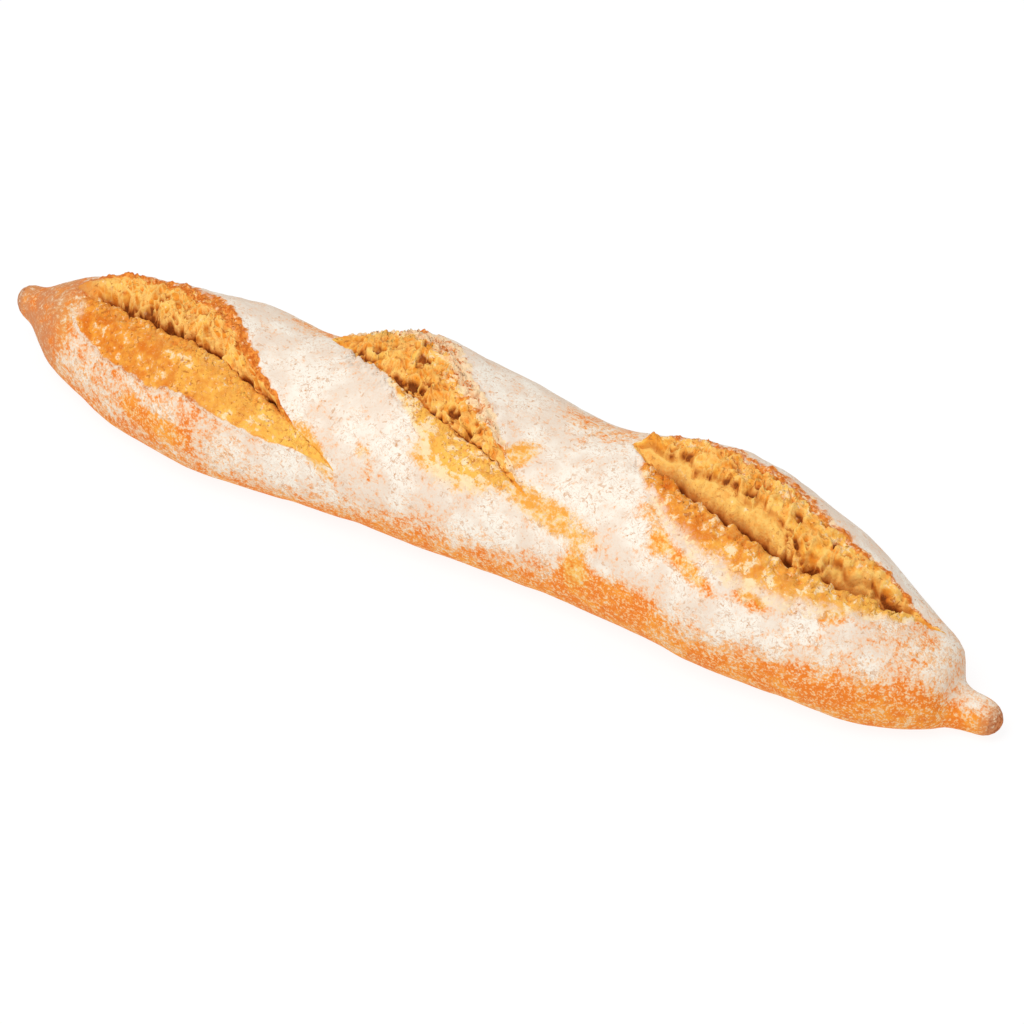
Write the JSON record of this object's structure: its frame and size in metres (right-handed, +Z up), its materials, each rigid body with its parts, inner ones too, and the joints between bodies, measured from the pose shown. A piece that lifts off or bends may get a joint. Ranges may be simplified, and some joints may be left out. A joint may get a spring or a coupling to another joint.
{
  "type": "baguette",
  "caption": "Rustic flour-dusted baguette with pinched pointed ends and diagonal torn-open scores along its top, lying on a flat sole.",
  "frame": {"origin": "under the middle of the loaf, on the surface that it rests on", "axes": "+X along the loaf towards its lower, floury end; +Y towards the side with the raised ears of the scores; +Z up"},
  "size_m": [0.45, 0.0898, 0.067],
  "materials": {
    "baked_crust": "matt golden-orange crust with a dusting of pale flour"
  },
  "bodies": {
    "root": {"loaf": "baked_crust"}
  },
  "joints": []
}
